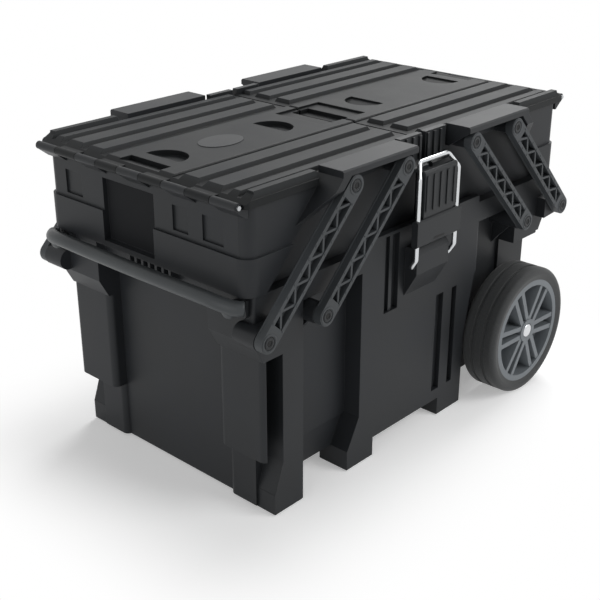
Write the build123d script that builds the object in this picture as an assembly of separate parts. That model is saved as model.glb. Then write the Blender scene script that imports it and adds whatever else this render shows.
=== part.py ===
"""Cantilever jobsite storage box: a wheeled tub under two bins that swing out on link arms.

Millimetres. X runs along the box towards the wheels, Y across it, Z up from the ground.
The model is drawn about the split between the two bins (x = 0) and about its own long
centre plane (y = 0). Front pieces have negative y. Left pieces have negative x.
Every piece is moved by frame_shift when it is written, to centre the whole box on X = 0.
"""
from build123d import *
import math
import os

# ---------------------------------------------------------------- driving dimensions
# Tub
tub_end_x = 285.0          # outer face of the end posts
tub_side_y = 171.0         # outer face of posts and centre panels
tub_wall = 4.0
tub_rim_z = 293.5
tub_floor_z = 28.0         # underside of the floor, between the feet
end_panel_inset = 19.0     # end panel behind the end posts
side_recess = 28.0         # side wall behind the posts and centre panels
post_inner_y = 98.0        # end posts run from here out to the side
post_width = 65.0          # post on the long side, in from the end
post_round = 8.0
panel_round = 6.0          # upright corners of the tub between the posts
skirt_gap = 4.0            # skirt under the left end, above the ground
skirt_depth = 14.0
end_step_z = 80.0          # the end steps in below this height
end_step = 13.0
rim_flange_depth = 28.0
fin_inset = 31.0           # left face of the fin on each left post, in from the end
wing = 5.0                 # corner of the left posts, free of the fin
centre_panel_x = 133.0     # right edge of the centre panel
centre_panel_left = 116.0  # left edge, towards the fin
bay_pad = 3.0              # raised part of the side wall between fin and centre panel
bay_pad_low = 40.0         # its foot, above the floor
panel_skin = 16.0          # wall of the centre panel, thick enough for its pocket and grooves
tower_rise = 9.5           # centre panel above the rim
tower_thickness = 9.0
post_foot_inset = 16.0     # foot under each left post, in from the end
panel_foot_left = (22.0, 29.0)    # left foot of the centre panel, either way from its left edge
panel_foot_right = (79.0, 26.0)   # right foot, from its far and near side to the right edge
flare_rise = 42.0          # fin and centre panel run out to the width of their feet over this height
foot_depth = 46.0
foot_chamfer = 2.0

# Cuts in the centre panel, and ribs on its end
pocket_span = (-73.0, -46.0)
pocket_rib_span = (-62.0, -56.0)
pocket_depth = 7.0
pocket_rib_inset = 2.5
pocket_low = 95.5          # foot of the pocket, below the rim
groove_spans = ((38.0, 54.0), (73.0, 84.0))
groove_depth = 7.0
groove_low = 16.0          # foot of the grooves, above the floor
groove_high = 106.5        # head of the grooves, below the rim
end_rib_pitch = 12.0
end_rib_count = 7
end_rib_width = 4.0
end_rib_foot = 6.0         # foot of the end ribs, above the underside of the rim flange

# Wheels and axle
wheel_inset = 82.0         # axle in from the end
wheel_radius = 92.0
wheel_outer_y = 218.0
wheel_width = 52.0
tyre_height = 17.0         # rim to tread
rim_ring = 8.0
rim_inset = 2.0            # rim inside the faces of the tyre
rim_disc = 4.0
rim_disc_inset = 20.0      # outer face of the disc, behind the spokes' faces
hub_radius = 17.0
spoke_pairs = 6
spoke_phase = 5.0          # degrees, against the ground line
spoke_width = 7.0
spoke_depth = 20.0
spoke_inset = 1.0          # spokes behind the face of the rim
spoke_offset = 7.5         # each bar of a pair to the pair's centre line
spoke_splay = 3.0          # degrees
tyre_flank = 8.0           # side of the tyre slopes out from the rim over this height
tyre_round = 7.0
tread_groove = 5.0
tread_groove_depth = 2.0
axle_radius = 6.0
bush_wall = 3.0
well_gap = 4.0
well_headroom = 24.0       # above the tyre
well_slope = (17.0, 85.0)  # run and rise of the slope beside the tyre
well_corner = (15.0, 18.0) # run and rise of the flatter slope above it
well_wall_y = 147.0        # face of the tub behind the wheel
axle_cap_radius = 10.0
axle_cap_length = 5.0
axle_cap_grip = 2.7        # how far a cap reaches over the end of the axle
axle_cap_round = 2.5
axle_cap_recess = 1.5      # below the outer face of the tyre
cap_clearance = 6.0        # hub pocket behind the cap

# Bins
bin_overhang = 23.5        # past the end posts
bin_seat = 0.5             # bin above the tub's rim
bin_height = 101.5
bin_wall = 3.0
bin_end_wall = 12.0
bin_core_y = 158.0         # side wall behind the arms
bin_cheek_y = 173.5        # side wall beside the arms
bin_ledge_rise = 44.0      # lower part of the end, up to here, stands proud by bin_ledge
bin_ledge = 3.0
bin_corner_round = 14.0
split_gap = 3.0
end_recess = 9.0           # panel in the end wall, off to one side
end_recess_y = (-24.0, 66.0)
end_recess_rise = (7.0, 84.0)
end_flutes = ((-135.0, -103.0), (-80.0, -55.0), (106.0, 137.0))
end_flute_depth = 2.5      # from the upper face of the end
end_flute_ends = (6.0, 22.0)  # above the ledge, below the bin's rim

# Brow over the arms
brow_rise = 17.5           # above the bin's rim
brow_thickness = 8.0
brow_web_y = 162.0
brow_web = 6.0
brow_outer_y = 198.0
brow_edge = 2.0
brow_inner_x = 52.0
brow_gusset_drop = 10.5    # below the bin's rim
brow_gusset = 4.0
cheek_gap = 3.7            # between arm and the edge of the cheek beside it
fairing_width = 10.0
fairing_drop = 34.0        # how far the fairing reaches below the arm's pivot

# Lids
lid_seat = 0.5             # lid above the bin's rim
lid_height = 8.5           # skirt to plate
lid_plate = 3.5
ridge_rise = 5.0           # above the lid's plate
edge_ridge_rise = 8.0      # outer ridge beside the brow
centre_panel_rise = 2.5
ridge_slope = 3.0
ridge_setback = 4.0        # ridges behind the hinge end of the lid
ridge_ramps = (8.0, 4.0)   # length of the slope at the hinge end and at the split
lid_overhang = 2.0         # past the end of the bin
lid_wide_y = 176.0
lid_narrow_y = 160.5
lid_wide_gap = 2.474       # wide part of the lid to the fairing beside it
lid_step = 10.0            # length in which the narrow part runs into the wide one
lid_round = 5.0
lid_end_chamfer = 13.0
bevel_foot = 4.0           # foot of the end bevel above the underside of the lid
panel_setback = 2.0        # centre panel behind the hinge end of the lid
panel_chamfer = 1.5
centre_panel_y = 57.5
ridge_bands = ((66.5, 94.5), (103.5, 132.5), (141.5, 157.5))
ridge_end_gap = 12.0
thumb_radius = 28.0
thumb_flat = 4.0           # straight side of a recess, past its centre
thumb_depth = 6.5          # at the deep side, towards the split
thumb_end_gap = 44.5       # centre of the outer recess to the end of the lid
thumb_inner_x = 92.0
notch_length = 24.5        # notch in the hinge end, a ramp down from the end
notch_y = 34.0
notch_depth = 6.5
dish_x = 42.0              # shallow dish round the hand slot
dish_y = 41.0
dish_depth = 3.0
grip_slot_x = 16.0
grip_slot_y = 36.0
grip_slot_depth = 8.5
slot_floor = 2.2
slot_wall = 3.0
pad_gap = 2.0              # backing pads above the underside of the lid
plate_oval_x = 178.0
plate_oval_length = 62.0
plate_oval_width = 44.0
plate_oval_height = 2.0
plate_oval_proud = 0.6

# Hinges of the lids
hinge_offset = 6.5         # pin past the end of the lid
hinge_rise = 3.0           # pin above the underside of the lid
hinge_pin_radius = 2.5
hinge_pin_end = 2.0        # pin past the last knuckle
knuckle_radius = 5.0
knuckle_count = 9
knuckle_span = 340.0
knuckle_gap = 0.8
knuckle_web_depth = 15.0   # web on the bin's end wall, below the pin

# Link arms
arm_base_inset = 77.0      # lower pivot of the inner arm, in from the end
inner_top_x = 69.0         # upper pivot of the inner arm
arm_spacing = 93.5         # inner to outer pivot, the same at both ends
arm_base_drop = 43.5       # lower pivots below the tub's rim
arm_top_drop = 4.0         # upper pivots below the bin's rim
arm_inner_y = 186.0
arm_depth = 11.0
arm_width = 24.6
arm_rail = 5.0
arm_back = 3.0
arm_rib = 3.0
arm_rib_inset = 1.0        # ribs below the rails
arm_bays = 10
arm_end_solid = 19.0
pin_radius = 5.0
pin_head_radius = 7.4
pin_head = 2.4
pin_inset = 0.3            # head below the face of the arm
head_clearance = 0.4
pin_depth = 18.0           # into the boss
base_boss_radius = 13.0
top_boss_radius = 10.0
boss_gap = 0.5             # between boss and arm
boss_rib = 6.0             # rib under the inner boss
boss_rib_inset = 4.0       # rib behind the face of the boss
boss_rib_height = 44.0

# Latches
latch_pivot_y = 184.0
latch_pivot_drop = 41.5    # below the tub's rim
wire_radius = 3.0
wire_half_width = 39.5
wire_front_y = 192.0
wire_stub = 16.0           # length of each end that runs into the boss
wire_stub_room = 2.0
wire_knee = 13.0           # height in which the wire comes forward, above the pivot
wire_neck = 18.0           # height in which it runs in to the crossbar
crossbar_half = 29.0
crossbar_y = 183.0
crossbar_drop = 10.5       # below the bin's rim
wire_bend = 6.0
latch_boss_half = 33.0
latch_boss_y = 189.0
latch_boss_slope = 6.0
latch_boss_up = 24.0       # boss above the pivot
latch_boss_down = 44.0     # and below it
latch_boss_face = (-10.0, 16.0)
grip_band_rise = (30.0, 64.0)     # clip round the wire, above the pivot
grip_plate_drop = 9.0      # head of the thumb plate, below the crossbar
grip_thickness = 9.0
grip_chamfer = 2.0
grip_neck = 3.0            # height of the neck between clip and thumb plate
grip_side_gap = 4.0        # thumb plate to the wire beside it

# Lid catches under the crossbar
catch_inner_x = 4.0
catch_outer_x = 46.0
catch_drop = 27.5          # foot of the catch, below the bin's rim
catch_thickness = 5.5
catch_rib_pitch = 13.0
catch_rib_width = 4.0
catch_rib = 2.5
catch_rib_end = 2.0
catch_lip_y = 178.4
catch_lip_rise = (3.0, 8.0, 14.0)

# Pull handle
handle_reach = 17.5        # axis of the bar past the end of the bin
handle_drop = 2.5          # below the tub's rim
handle_radius = 11.0
handle_straight_y = 132.0
handle_bow = 6.5           # the bar bows in a little towards its ends
handle_end_y = 181.0
handle_dimple_radius = 7.0
handle_dimple = 3.0
tube_y = 152.0
tube_drop = 13.5           # below the tub's rim
tube_radius = 6.5
tube_wall = 1.5
tube_socket = 16.0
tube_travel_room = 8.0     # bore past the end of the tube
tube_inner_x = 150.0       # how far the tubes reach past the split
bracket_side = (12.0, 20.0)       # bracket past the tube's axis, inwards and outwards
bracket_face = 4.0         # front of the bracket past the axis of the bar
bracket_top_gap = 9.0      # top of the bracket under the bin
bracket_foot = 10.0        # foot of the bracket below the tube's axis
bracket_gap = 0.5          # bracket to the collar behind it
guide_wall = 2.0
guide_length = 42.0
guide_collar = 5.0
collar_half = 12.0
collar_chamfer = 3.0
stop_length = 6.0
stop_plug = 10.0
corner_block_proud = 13.0  # past the end posts
corner_block_foot = 2.0    # block below the boss of the outer arm
corner_block_slope = 24.0  # height of the sloped underside
ear_root = 12.0            # where the ear's web meets the post
corner_block_round = 4.0

# Removable dividers in the bins
divider_thickness = 2.5
divider_drop = 20.5        # below the bin's rim
divider_xs = (105.0, 205.0)

# Clearances
running_fit = 0.05         # pin or axle in its own hole
open_pivot_fit = 0.3       # last pivot of each four-bar, which closes the loop
slide_fit = 0.3            # handle tubes in their guides
seat_gap = 0.3             # loose divider to the wall beside it
knuckle_clearance = 0.8    # bin's knuckle webs to the end of the lid
overlap = 1.0              # how far a cutter or a joined form runs past a face

# ---------------------------------------------------------------- worked out from them
recess_y = tub_side_y - side_recess
end_panel_x = tub_end_x - end_panel_inset
post_inner_x = tub_end_x - post_width
fin_x = tub_end_x - fin_inset
post_foot = (-tub_end_x + post_foot_inset, -post_inner_x)
left_foot = (-centre_panel_left - panel_foot_left[0], -centre_panel_left + panel_foot_left[1])
right_foot = (centre_panel_x - panel_foot_right[0], centre_panel_x - panel_foot_right[1])
foot_spans = (post_foot, left_foot, right_foot)
cavity_x = end_panel_x - tub_wall
cavity_y = recess_y - tub_wall
flange_z = tub_rim_z - rim_flange_depth
corner_block_x = tub_end_x + corner_block_proud
rim_radius = wheel_radius - tyre_height
wheel_x = tub_end_x - wheel_inset
well_x = wheel_x - wheel_radius - well_gap
well_top_z = 2 * wheel_radius + well_headroom
cap_seat = axle_cap_length + cap_clearance
bin_end_x = tub_end_x + bin_overhang
bin_bottom_z = tub_rim_z + bin_seat
bin_rim_z = bin_bottom_z + bin_height
bin_ledge_z = bin_bottom_z + bin_ledge_rise
brow_top_z = bin_rim_z + brow_rise
brow_under_z = brow_top_z - brow_thickness
brow_gusset_z = bin_rim_z - brow_gusset_drop
lid_base_z = bin_rim_z + lid_seat
lid_plate_z = lid_base_z + lid_height
ridge_top_z = lid_plate_z + ridge_rise
edge_ridge_top_z = lid_plate_z + edge_ridge_rise
centre_panel_z = lid_plate_z + centre_panel_rise
lid_end_x = bin_end_x + lid_overhang
thumb_outer_x = lid_end_x - thumb_end_gap
notch_inner_x = lid_end_x - notch_length
hinge_x = lid_end_x + hinge_offset
hinge_z = lid_base_z + hinge_rise
arm_base_z = tub_rim_z - arm_base_drop
arm_top_z = bin_rim_z - arm_top_drop
arm_outer_y = arm_inner_y + arm_depth
inner_base_x = tub_end_x - arm_base_inset
arm_run = inner_base_x - inner_top_x
arm_rise = arm_top_z - arm_base_z
arm_length = math.hypot(arm_run, arm_rise)
outer_base_x = inner_base_x + arm_spacing
outer_top_x = inner_top_x + arm_spacing
cheek_offset = arm_width / 2 + cheek_gap       # arm axis to the edge of the cheek
fairing_offset = cheek_offset + fairing_width
boss_face_y = arm_inner_y - boss_gap
latch_pivot_z = tub_rim_z - latch_pivot_drop
crossbar_z = bin_rim_z - crossbar_drop
grip_band_low_z = latch_pivot_z + grip_band_rise[0]
grip_band_high_z = latch_pivot_z + grip_band_rise[1]
grip_plate_high_z = crossbar_z - grip_plate_drop
catch_low_z = bin_rim_z - catch_drop
handle_x = bin_end_x + handle_reach
handle_z = tub_rim_z - handle_drop
handle_end_x = handle_x - handle_bow
tube_z = tub_rim_z - tube_drop
bracket_end_x = -corner_block_x - guide_collar - bracket_gap
guide_radius = tube_radius + slide_fit + guide_wall
frame_shift = (handle_x + handle_radius - hinge_x - knuckle_radius) / 2


# ---------------------------------------------------------------- small helpers
def block(x, y, z):
    """Box between two corners, given as (low, high) on each axis."""
    size = Box(x[1] - x[0], y[1] - y[0], z[1] - z[0])
    return Pos((x[0] + x[1]) / 2, (y[0] + y[1]) / 2, (z[0] + z[1]) / 2) * size


def slab_xz(points, y):
    """Outline in the XZ plane, given thickness from y[0] to y[1]."""
    outline = Polyline(*[(px, y[0], pz) for px, pz in points], close=True)
    return extrude(make_face(outline), amount=y[1] - y[0], dir=(0, 1, 0))


def slab_yz(points, x):
    """Outline in the YZ plane, given thickness from x[0] to x[1]."""
    outline = Polyline(*[(x[0], py, pz) for py, pz in points], close=True)
    return extrude(make_face(outline), amount=x[1] - x[0], dir=(1, 0, 0))


def rounded_block(x, y, z, radius):
    """Box with its four vertical edges rounded."""
    outline = RectangleRounded(x[1] - x[0], y[1] - y[0], radius)
    return extrude(Pos((x[0] + x[1]) / 2, (y[0] + y[1]) / 2, z[0]) * outline, amount=z[1] - z[0])


def rod_y(x, z, radius, y):
    """Cylinder along Y."""
    return Pos(x, (y[0] + y[1]) / 2, z) * Rot(90, 0, 0) * Cylinder(radius, y[1] - y[0])


def rod_x(y, z, radius, x):
    """Cylinder along X."""
    return Pos((x[0] + x[1]) / 2, y, z) * Rot(0, 90, 0) * Cylinder(radius, x[1] - x[0])


def front_and_back(shape):
    """The shape and its mirror image across the long centre plane."""
    return [shape, mirror(shape, about=Plane.XZ)]


def both_ends(shape):
    """The shape and its mirror image across the split."""
    return [shape, mirror(shape, about=Plane.YZ)]


def four_ways(shape):
    """The shape in all four quarters of the box."""
    return [copy for half in front_and_back(shape) for copy in both_ends(half)]


def arm_axis_x(z):
    """Distance from the split to the outer arm's axis at height z, bins closed."""
    return outer_base_x - (z - arm_base_z) * arm_run / arm_rise


def beside_arm_x(z, offset):
    """Distance from the split to the line that runs beside the outer arm at that offset."""
    return arm_axis_x(z) + offset * arm_length / arm_rise


lid_wide_inner_x = beside_arm_x(lid_base_z, fairing_offset) + lid_wide_gap


# ---------------------------------------------------------------- tub
def corner_post():
    """Corner post of the left front, stepped in near the ground."""
    side = (-tub_side_y, -post_inner_y)
    inner = -post_inner_x
    post = rounded_block((-tub_end_x, inner), side, (end_step_z, tub_rim_z), post_round)
    foot_height = (tub_floor_z, end_step_z + overlap)
    post += rounded_block((-tub_end_x + end_step, inner), side, foot_height, post_round)
    core_x = (-tub_end_x + end_step + post_round, inner)
    post += block(core_x, (side[0] + post_round, side[1]), (tub_floor_z, tub_rim_z))
    return post + block((inner - post_round, inner), side, (tub_floor_z, tub_rim_z))


def centre_panel():
    """The proud panel in the middle of one long side, with a thin tower above the rim."""
    side = (-tub_side_y, -cavity_y + post_round)
    height = (tub_floor_z, tub_rim_z)
    panel = rounded_block((-centre_panel_x, centre_panel_x), side, height, post_round)
    past = (side[0] - overlap, side[1] + overlap)
    panel -= block((-centre_panel_x - overlap, -centre_panel_left), past, (0, tub_rim_z + overlap))
    tower = block((-centre_panel_left, centre_panel_x - post_round),
                  (-tub_side_y, -tub_side_y + tower_thickness), (flange_z, tub_rim_z + tower_rise))
    return panel + tower


def side_bay():
    """Raised part of the side wall between the left fin and the centre panel."""
    span = (-post_inner_x - overlap, -centre_panel_left + overlap)
    return block(span, (-recess_y - bay_pad, -cavity_y), (tub_floor_z + bay_pad_low, tub_rim_z))


def corner_cut():
    """What is cut from a left post: the groove behind its wing, and the outer corner under the wing."""
    depth = (-tub_side_y - overlap, -recess_y)
    top = arm_base_z - base_boss_radius - corner_block_foot - corner_block_slope
    groove = block((-tub_end_x + wing, -fin_x), depth, (tub_floor_z - overlap, top))
    return groove + block((-tub_end_x - overlap, -fin_x), depth, (tub_floor_z - overlap, end_step_z))


def end_skirt():
    """Skirt that hangs from the left end panel and its two posts to just above the ground."""
    height = (skirt_gap, tub_floor_z + overlap)
    back = -end_panel_x + skirt_depth
    panel = block((-end_panel_x, back), (-recess_y, recess_y), height)
    post = rounded_block((-tub_end_x + end_step, back), (-tub_side_y, -post_inner_y), height, post_round)
    post = post & block((-tub_end_x, back - post_round), (-recess_y, 0), height)
    return [panel] + front_and_back(post)


def flares():
    """Wedges on the front with which the left fin and the centre panel run out to their feet."""
    wedges = []
    for face_x, (foot_x, _) in ((-fin_x, foot_spans[0]), (-centre_panel_left, foot_spans[1])):
        wedges.append(slab_xz([(foot_x, tub_floor_z), (face_x, tub_floor_z + flare_rise),
                               (face_x + overlap, tub_floor_z + flare_rise), (face_x + overlap, tub_floor_z)],
                              (-tub_side_y, -recess_y + overlap)))
    return wedges


def feet():
    """Moulded feet under the posts and the centre panels."""
    pads = []
    for span in foot_spans:
        pad = block(span, (-tub_side_y, -tub_side_y + foot_depth), (0, tub_floor_z + overlap))
        pads += front_and_back(chamfer(pad.edges().group_by(Axis.Z)[0], foot_chamfer))
    return pads


def rim_flange():
    """The thick rim that carries the bins and houses the handle tubes."""
    height = (flange_z, tub_rim_z)
    ring = rounded_block((-tub_end_x, tub_end_x), (-tub_side_y, tub_side_y), height, post_round)
    mouth = block((-cavity_x, cavity_x), (-cavity_y, cavity_y), (flange_z - overlap, tub_rim_z + overlap))
    return ring - mouth


def corner_block():
    """Block at one corner under the rim, with the ear that holds the outer arm's lower pivot."""
    low = arm_base_z - base_boss_radius - corner_block_foot
    shape = slab_xz([(-end_panel_x, tub_rim_z), (-corner_block_x, tub_rim_z), (-corner_block_x, low),
                     (-tub_end_x, low - corner_block_slope), (-end_panel_x, low - corner_block_slope)],
                    (-tub_side_y, -post_inner_y))
    shape = fillet(shape.edges().filter_by(Axis.Z).group_by(Axis.Y)[0], corner_block_round)
    ear = rod_y(-outer_base_x, arm_base_z, base_boss_radius, (-boss_face_y, -tub_side_y + pin_depth))
    root_x = -tub_end_x + ear_root
    ear_web = slab_xz([(-outer_base_x, arm_base_z + base_boss_radius),
                       (-outer_base_x, arm_base_z - base_boss_radius),
                       (root_x, low), (root_x, arm_base_z + base_boss_radius)], (-boss_face_y, -tub_side_y))
    return shape + ear + ear_web


def inner_arm_boss():
    """Boss on the side wall for the inner arm's lower pivot, with a rib down the wall."""
    boss = rod_y(-inner_base_x, arm_base_z, base_boss_radius, (-boss_face_y, -cavity_y))
    wall = -recess_y + overlap
    rib = slab_yz([(-boss_face_y + boss_rib_inset, arm_base_z), (wall, arm_base_z - boss_rib_height),
                   (wall, arm_base_z)], (-inner_base_x - boss_rib / 2, -inner_base_x + boss_rib / 2))
    return boss + rib


def latch_boss():
    """Boss in the middle of one long side that holds both ends of the latch wire."""
    wall = -tub_side_y + overlap
    top = latch_pivot_z + latch_boss_up
    face_low, face_high = latch_boss_face
    foot = latch_pivot_z - latch_boss_down
    boss = slab_yz([(wall, top), (-latch_boss_y + latch_boss_slope, top),
                    (-latch_boss_y, latch_pivot_z + face_high), (-latch_boss_y, latch_pivot_z + face_low),
                    (wall, foot)], (-latch_boss_half, latch_boss_half))
    hole = rod_x(-latch_pivot_y, latch_pivot_z, wire_radius + running_fit,
                 (wire_half_width - wire_stub - wire_stub_room, latch_boss_half + overlap))
    return boss - both_ends(hole)


def panel_cuts():
    """Pocket with its rib, and the upright grooves, in the face of a centre panel."""
    face = -tub_side_y
    height = (tub_rim_z - pocket_low, tub_rim_z + tower_rise - tub_wall)
    pocket = block(pocket_span, (face - overlap, face + pocket_depth), height)
    rib = block(pocket_rib_span, (face + pocket_rib_inset, face + pocket_depth + overlap), height)
    groove_height = (tub_floor_z + groove_low, tub_rim_z - groove_high)
    grooves = [block(span, (face - overlap, face + groove_depth), groove_height) for span in groove_spans]
    return [pocket - rib] + grooves


def wheel_well():
    """Space cut beside one wheel, with sloped upper corner."""
    far = corner_block_x + overlap
    turn_x = well_x + well_slope[0]
    turn_z = well_top_z - well_corner[1]
    return slab_xz([(well_x, -overlap), (well_x, turn_z - well_slope[1]), (turn_x, turn_z),
                    (turn_x + well_corner[0], well_top_z), (far, well_top_z), (far, -overlap)],
                   (-wheel_outer_y, -well_wall_y))


def axle_tunnel():
    """Raised tunnel across the floor, over the axle."""
    half = 2 * axle_radius + tub_wall
    return block((wheel_x - half, wheel_x + half), (-cavity_y, cavity_y), (tub_floor_z, wheel_radius + half))


def axle_channel():
    """The hollow under the tunnel, open to the ground."""
    half = 2 * axle_radius
    return block((wheel_x - half, wheel_x + half), (-cavity_y, cavity_y), (-overlap, wheel_radius + half))


def tub_cavity():
    """Inside of the tub: the main room, the posts and the centre panels."""
    floor = tub_floor_z + tub_wall
    room = block((-cavity_x, cavity_x), (-cavity_y, cavity_y), (floor, tub_rim_z + overlap))
    room -= axle_tunnel()
    height = (floor, flange_z)
    inside = -cavity_y + overlap
    panel_x = (-centre_panel_left + tub_wall, centre_panel_x - tub_wall)
    panel = block(panel_x, (-tub_side_y + panel_skin, inside), height)
    fin_span = (-fin_x + tub_wall, -post_inner_x - tub_wall)
    fin = block(fin_span, (-tub_side_y + tub_wall, inside), height)
    post_x = (cavity_x - overlap, tub_end_x - end_step - tub_wall)
    post = block(post_x, (-cavity_y, -post_inner_y - tub_wall), height)
    return [room] + front_and_back(panel) + front_and_back(fin) + four_ways(post)


def end_ribs():
    """Small upright ribs on the end of the rim, behind the pull handle."""
    ribs = []
    for index in range(end_rib_count):
        low = (index - (end_rib_count - 1) / 2) * end_rib_pitch - end_rib_width / 2
        ribs.append(block((-corner_block_x, -tub_end_x + overlap), (low, low + end_rib_width),
                          (flange_z + end_rib_foot, tub_rim_z)))
    return ribs


def arm_pin_holes():
    """Holes for the lower arm pins of the left front."""
    depth = (-boss_face_y - overlap, -boss_face_y + pin_depth)
    return [rod_y(-x, arm_base_z, pin_radius, depth) for x in (inner_base_x, outer_base_x)]


def handle_bore():
    """Long bore in the front rim for a handle tube and its guide."""
    return rod_x(-tube_y, tube_z, guide_radius, (-corner_block_x - overlap, tube_inner_x + tube_travel_room))


def base_tub():
    """The whole tub as one moulding."""
    height = (tub_floor_z, tub_rim_z)
    tub = rounded_block((-end_panel_x, end_panel_x), (-recess_y, recess_y), height, panel_round)
    tub += four_ways(corner_post())
    tub += front_and_back(centre_panel())
    tub += rim_flange()
    tub += four_ways(corner_block())
    tub += four_ways(inner_arm_boss())
    tub += front_and_back(side_bay())
    tub -= tub_cavity()
    tub -= front_and_back(wheel_well())
    tub -= front_and_back(corner_cut())
    tub += end_skirt()
    tub += feet()
    for flare in flares():
        tub += front_and_back(flare)
    tub += front_and_back(latch_boss())
    tub += end_ribs()
    for cut in panel_cuts():
        tub -= front_and_back(cut)
    tub -= axle_channel()
    reach = well_wall_y + overlap
    tub -= rod_y(wheel_x, wheel_radius, axle_radius + running_fit, (-reach, reach))
    tub -= front_and_back(handle_bore())
    for hole in arm_pin_holes():
        tub -= four_ways(hole)
    return tub


# ---------------------------------------------------------------- wheels
def tyre():
    """Solid tyre about the Z axis, outer face up, with two grooves round the tread."""
    half = wheel_width / 2
    flank = rim_radius + tyre_flank
    section = Polyline((rim_radius, -half + rim_inset), (flank, -half), (wheel_radius, -half),
                       (wheel_radius, half), (flank, half), (rim_radius, half - rim_inset), close=True)
    face = make_face(Plane.XZ * section)
    face = fillet(face.vertices().group_by(Axis.X)[-1], tyre_round)
    body = revolve(face, Axis.Z)
    for z in (-half / 3, half / 3):
        groove = Cylinder(wheel_radius + overlap, tread_groove)
        groove -= Cylinder(wheel_radius - tread_groove_depth, tread_groove + overlap)
        body -= Pos(0, 0, z) * groove
    return body


def rim():
    """Spoked rim about the Z axis: barrel, thin disc, hub and pairs of spokes on the outer side."""
    half = wheel_width / 2 - rim_inset
    body = Cylinder(rim_radius, 2 * half) - Cylinder(rim_radius - rim_ring, 2 * half + overlap)
    body += Cylinder(hub_radius, 2 * half)
    reach = rim_radius - rim_ring / 2
    body += Pos(0, 0, half - rim_disc_inset - rim_disc / 2) * Cylinder(reach, rim_disc)
    for index in range(spoke_pairs):
        for side in (-1, 1):
            bar = Rot(0, 0, side * spoke_splay) * Box(reach, spoke_width, spoke_depth)
            bar = Pos(reach / 2, side * spoke_offset, half - spoke_inset - spoke_depth / 2) * bar
            body += Rot(0, 0, 360 / spoke_pairs * index - spoke_phase) * bar
    body -= Cylinder(axle_radius + running_fit + bush_wall, wheel_width + overlap)
    pocket = Cylinder(axle_cap_radius + seat_gap, cap_seat + 2 * overlap)
    return body - Pos(0, 0, half - cap_seat / 2 + overlap) * pocket


def bush():
    """Plain bush between axle and rim."""
    length = wheel_width - 2 * rim_inset - cap_seat
    body = Cylinder(axle_radius + running_fit + bush_wall, length)
    body -= Cylinder(axle_radius + running_fit, length + overlap)
    return Pos(0, 0, -cap_seat / 2) * body


def at_front_wheel(shape):
    """Place a wheel piece, drawn about Z with its outer face up, at the front wheel."""
    return Pos(wheel_x, -wheel_outer_y + wheel_width / 2, wheel_radius) * Rot(90, 0, 0) * shape


def axle():
    """Steel axle from cap to cap."""
    reach = wheel_outer_y - axle_cap_recess - axle_cap_length
    return rod_y(wheel_x, wheel_radius, axle_radius, (-reach, reach))


def axle_caps():
    """Pressed steel caps on both ends of the axle."""
    face = wheel_outer_y - axle_cap_recess
    start = face - axle_cap_length - axle_cap_grip
    cap = rod_y(wheel_x, wheel_radius, axle_cap_radius, (-face, -start))
    cap = fillet(cap.edges().filter_by(GeomType.CIRCLE).group_by(Axis.Y)[0], axle_cap_round)
    cap -= rod_y(wheel_x, wheel_radius, axle_radius, (-face + axle_cap_length, -start + overlap))
    return front_and_back(cap)


# ---------------------------------------------------------------- arms
def arm_place(base_x, y):
    """Plane on a left front arm: X along the arm from its lower pivot, Z outwards."""
    return Plane(origin=(-base_x, -y, arm_base_z), x_dir=(arm_run, 0, arm_rise), z_dir=(0, -1, 0))


def truss_rib(index, bay, pocket_half):
    """One slanted rib of the truss, in the arm's own plane."""
    rise = pocket_half if index % 2 == 0 else -pocket_half
    angle = math.degrees(math.atan2(2 * rise, bay))
    top = arm_depth - arm_rib_inset
    rib = Box(math.hypot(bay, 2 * rise), arm_rib, top - arm_back)
    return Pos(arm_end_solid + bay * (index + 0.5), 0, (top + arm_back) / 2) * Rot(0, 0, angle) * rib


def link_arm(base_x, top_fit):
    """One trussed link arm of the left front, with a counterbored hole at each end."""
    body = extrude(Pos(arm_length / 2, 0) * SlotCenterToCenter(arm_length, arm_width), amount=arm_depth)
    pocket_length = arm_length - 2 * arm_end_solid
    pocket_half = arm_width / 2 - arm_rail
    pocket_depth_here = arm_depth + overlap - arm_back
    pocket = Box(pocket_length, 2 * pocket_half, pocket_depth_here)
    body -= Pos(arm_length / 2, 0, arm_back + pocket_depth_here / 2) * pocket
    for index in range(arm_bays):
        body += truss_rib(index, pocket_length / arm_bays, pocket_half)
    seat = pin_head + 2 * pin_inset
    for x, fit in ((0, running_fit), (arm_length, top_fit)):
        body -= Pos(x, 0, arm_depth / 2) * Cylinder(pin_radius + fit, arm_depth + 2 * overlap)
        head_room = Cylinder(pin_head_radius + head_clearance, seat + overlap)
        body -= Pos(x, 0, arm_depth - seat / 2 + overlap / 2) * head_room
    return arm_place(base_x, arm_inner_y) * body


def arm_pin(x, z):
    """Headed pin for one pivot of the left front."""
    face = -arm_outer_y + pin_inset
    shaft = rod_y(-x, z, pin_radius, (face + pin_head, -boss_face_y + pin_depth))
    return shaft + rod_y(-x, z, pin_head_radius, (face, face + pin_head))


# ---------------------------------------------------------------- left bin
def cheek_outline(inset, high):
    """Side outline of the bin beside the outer arm, up to a height, or the same drawn smaller."""
    left = -bin_end_x + inset
    low = bin_bottom_z + inset
    return [(left, low), (-beside_arm_x(low, cheek_offset) - inset, low),
            (-beside_arm_x(high, cheek_offset) - inset, high), (left, high)]


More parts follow.
